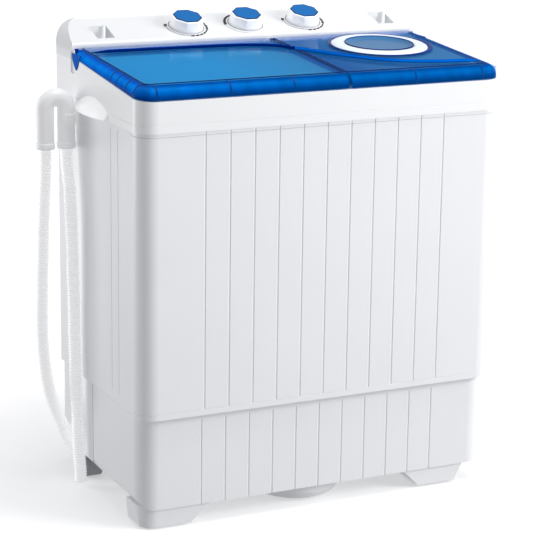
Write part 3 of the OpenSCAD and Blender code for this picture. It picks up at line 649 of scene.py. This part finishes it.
def make_lids():
    moulded = painted("lid_panel_blue", 0.16, Specular_IOR_Level=0.0)
    navy = surface("lid_line_navy", NAVY, 0.15, Specular_IOR_Level=0.15)
    inset, clear = 0.020, 0.0003
    left, right = -BODY_HALF_W + inset, BODY_HALF_W - inset
    wash_end, spin_end = SPLIT_X - SEAM_GAP - LID_WALL - clear, SPLIT_X + SEAM_GAP + LID_WALL + clear
    lid_panel("wash_lid_panel", left, wash_end, WASH_TONES, (-0.16, 0.04), "wash_lid", moulded)
    lid_panel("spin_lid_panel", spin_end, right, SPIN_TONES, (0.06, 0.22), "spin_lid", moulded)
    front, back = LID_EDGE_Y + 0.004, LID_BACK - 0.006
    turn = [(0.0, 0.012), (0.0014, 0.0062), (0.0062, 0.0014), (0.012, 0.0)]
    lid_line("wash_lid_border", [(left, back), (left, -0.05)] + [(left + a, front + b) for a, b in turn]
             + [(-0.1, front), (wash_end, front)], "wash_lid", navy)
    lid_line("spin_lid_border", [(spin_end, front), (0.2, front), (right - 0.004, front)], "spin_lid", navy)
    lid_line("wash_lid_seam", [(wash_end, front), (wash_end, -0.05), (wash_end, back)], "wash_lid", navy)
    lid_line("spin_lid_seam", [(spin_end, front), (spin_end, -0.05), (spin_end, back)], "spin_lid", navy)
    ridge_bead("wash_lid_ridge", -0.332, SPLIT_X - SEAM_GAP, "wash_lid", moulded)
    ridge_bead("spin_lid_ridge", SPLIT_X + SEAM_GAP, 0.333, "spin_lid", moulded)
    rim_ribs("wash_lid_ribs", -1, [x for x in RIB_X if x < SPLIT_X], SIDE_RIB_Y, "wash_lid", navy)
    rim_ribs("spin_lid_ribs", 1, [x for x in RIB_X if x > SPLIT_X], [], "spin_lid", navy)
    rim_liner("wash_lid_liner", -1, "wash_lid", moulded)
    rim_liner("spin_lid_liner", 1, "spin_lid", moulded)
    ear_liner("wash_lid_ear", -1, "wash_lid", moulded)
    ear_liner("spin_lid_ear", 1, "spin_lid", moulded)
    hinge_hood("wash_lid_hood", -0.3520, -0.3445, "wash_lid", moulded)
    hinge_hood("wash_lid_seam_hood", SPLIT_X - 0.0050, SPLIT_X - 0.0005, "wash_lid", moulded)
    hinge_hood("spin_lid_seam_hood", SPLIT_X + 0.0005, SPLIT_X + 0.0050, "spin_lid", moulded)


def make_ring():
    """Disc and recess round the white ring of the spin lid."""
    x, y = RING_CENTRE
    place = Matrix.Translation(on_lid(x, y, 0.0002)) @ Matrix.Rotation(LID_TILT, 4, "X")
    dish = surface("ring_dish_blue", (0.055, 0.20, 0.42), 0.12, shade=0.25, Specular_IOR_Level=0.10)
    profile = [(0.0645, 0.0046), (0.062, 0.0040), (0.058, 0.0014), (0.050, 0.0008), (0.030, 0.0006),
               (0.0005, 0.0006)]
    points, faces = lathe(profile, place)
    piece("ring_dish", points, faces, dish, "spin_lid")
    navy = surface("ring_recess_navy", (0.0, 0.025, 0.20), 0.3, Specular_IOR_Level=0.1)
    shifted = Matrix.Translation(on_lid(x + 0.005, y + 0.004, 0.0003)) @ Matrix.Rotation(LID_TILT, 4, "X")
    points, faces = lathe([(0.0985, 0.0), (0.0975, 0.0012), (0.094, 0.0012), (0.088, 0.0)], shifted)
    piece("ring_recess", points, faces, navy, "spin_lid")
    points, faces = lathe([(0.0650, 0.0046), (0.0644, 0.0056), (0.0632, 0.0056), (0.0626, 0.0042)], place)
    piece("ring_inner_edge", points, faces, navy, "spin_lid")


# ---------- knobs and dials ----------

CAP_BLUE = (0.0, 0.125, 0.40)
CAP_EDGE = (0.0, 0.02, 0.09)
KNOB_SIDES = 96
CORNER_REACH = 1.02  # corners of the eight-sided top, against the radius of the round skirt


def on_face(x, y):
    """Frame on the console's sloping face, Z out of it."""
    z = FACE_Z + (y - FACE_Y) * math.tan(FACE_TILT)
    return Matrix.Translation((x, y, z)) @ Matrix.Rotation(FACE_TILT, 4, "X")


def octagon_radius(angle):
    """Distance from the centre to the edge of an octagon of radius 1, flats at 0 degrees."""
    step = math.pi / 4
    off = (angle + step / 2) % step - step / 2
    return math.cos(step / 2) / math.cos(off)


def knob_shell(name, x, node, body, material):
    """A knob that is round at its skirt and eight-sided at its top."""
    place = on_face(x, KNOB_Y)
    levels = [(0.0300, 0.0016, 0.0), (0.0313, 0.0022, 0.0), (0.0313, 0.0055, 0.0), (0.0308, 0.0090, 0.15),
              (0.0304, 0.0135, 0.5), (0.0302, 0.0180, 0.85), (0.0300, 0.0206, 1.0), (0.0294, 0.0217, 1.0),
              (0.0282, 0.0220, 1.0), (0.0265, 0.0220, 1.0), (0.0255, 0.0216, 1.0), (0.0002, 0.0216, 1.0)]
    points = []
    for r, z, share in levels:
        for k in range(KNOB_SIDES):
            a = 2 * math.pi * k / KNOB_SIDES
            reach = r * (1 - share + share * octagon_radius(a) * CORNER_REACH)
            points.append(place @ Vector((reach * math.cos(a), reach * math.sin(a), z)))
    shell = piece(name, points, ring_faces(len(levels), KNOB_SIDES), material, body)
    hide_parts(node)


def cap_shell(name, x, node, body, material):
    """Coloured eight-sided cap that stands a little proud of the knob's white edge."""
    place = on_face(x, KNOB_Y)
    levels = [(0.0274, 0.0210), (0.0274, 0.0225), (0.0268, 0.0230), (0.0257, 0.0231), (0.0250, 0.0231),
              (0.0002, 0.0231)]
    angles = [2 * math.pi * k / KNOB_SIDES for k in range(KNOB_SIDES)]
    points = []
    for r, z in levels:
        for a in angles:
            reach = r * CORNER_REACH * octagon_radius(a)
            points.append(place @ Vector((reach * math.cos(a), reach * math.sin(a), z)))
    colours = [tone for r, z in levels for tone in [CAP_EDGE if r > 0.0255 else CAP_BLUE] * KNOB_SIDES]
    faces = ring_faces(len(levels), KNOB_SIDES)
    cap = piece(name, points, faces, material, body, smooth=False, colours=colours)
    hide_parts(node)


def dial_band(name, x, turn0, turn1, r0, r1, material, pieces=1, gap=0.0, rise=0.00135):
    """Printed marks round a knob: arcs from turn0 to turn1, in degrees from the dial's right."""
    place = on_face(x, KNOB_Y)
    points, faces = [], []
    span = (turn1 - turn0) / pieces
    for p in range(pieces):
        start, end = turn0 + p * span, turn0 + (p + 1) * span - gap
        steps = max(2, int(abs(end - start) / 4))
        base = len(points)
        for i in range(steps + 1):
            a = math.radians(start + (end - start) * i / steps)
            for r, z in ((r0, 0.0), (r0, rise), (r1, rise), (r1, 0.0)):
                points.append(place @ Vector((r * math.cos(a), r * math.sin(a), z)))
        for i in range(steps):
            for k in range(3):
                a = base + i * 4 + k
                faces.append((a, a + 4, a + 5, a + 1))
    return piece(name, points, faces, material, "cabinet", smooth=False)


def make_controls(materials):
    black = surface("dial_black", (0.02, 0.02, 0.022), 0.5, grain=900)
    silver = surface("dial_line_grey", (0.26, 0.27, 0.29), 0.4, grain=900)
    grip = painted("cap_blue_moulded", 0.3, Specular_IOR_Level=0.15)
    names = ["wash", "selector", "spin"]
    bodies = ["wash_timer_knob", "selector_knob", "spin_timer_knob"]
    for name, body, x in zip(names, bodies, KNOB_X):
        knob_shell(f"{name}_knob_shell", x, f"{name}_knob", body, materials["knob_white"])
        cap_shell(f"{name}_cap_shell", x, f"{name}_knob_cap", body, grip)
        dial_band(f"{name}_dial_inner", x, 0, 360, 0.0325, 0.0345, silver)
    for name, x in (("wash", KNOB_X[0]), ("spin", KNOB_X[2])):
        dial_band(f"{name}_dial_outer", x, 172, 390, 0.0378, 0.0394, silver)
        dial_band(f"{name}_dial_start", x, 160, 172, 0.0368, 0.0418, black, rise=0.0016)
        dial_band(f"{name}_dial_marks", x, 262, 332, 0.0380, 0.0406, black, pieces=5, gap=4.0, rise=0.0015)
        dial_band(f"{name}_dial_sweep", x, 334, 382, 0.0370, 0.0415, black, pieces=3, gap=4.0, rise=0.0016)
    dial_band("selector_dial_sweep", KNOB_X[1], 112, 180, 0.0370, 0.0418, black, rise=0.0016)
    dial_band("selector_dial_dot", KNOB_X[1], 20, 27, 0.0375, 0.0410, black, rise=0.0016)


# ---------- the whole scene ----------

make_camera()
slots = make_materials()
make_hoses(slots)
elbow_cuff(slots["hose_white"])
bend_collars(slots["bend_white_glowing"])
dress_cad_nodes(slots)
make_lids()
make_ring()
make_controls(slots)
cabinet_top_line()
seam_shades()
make_stage()
make_lights()
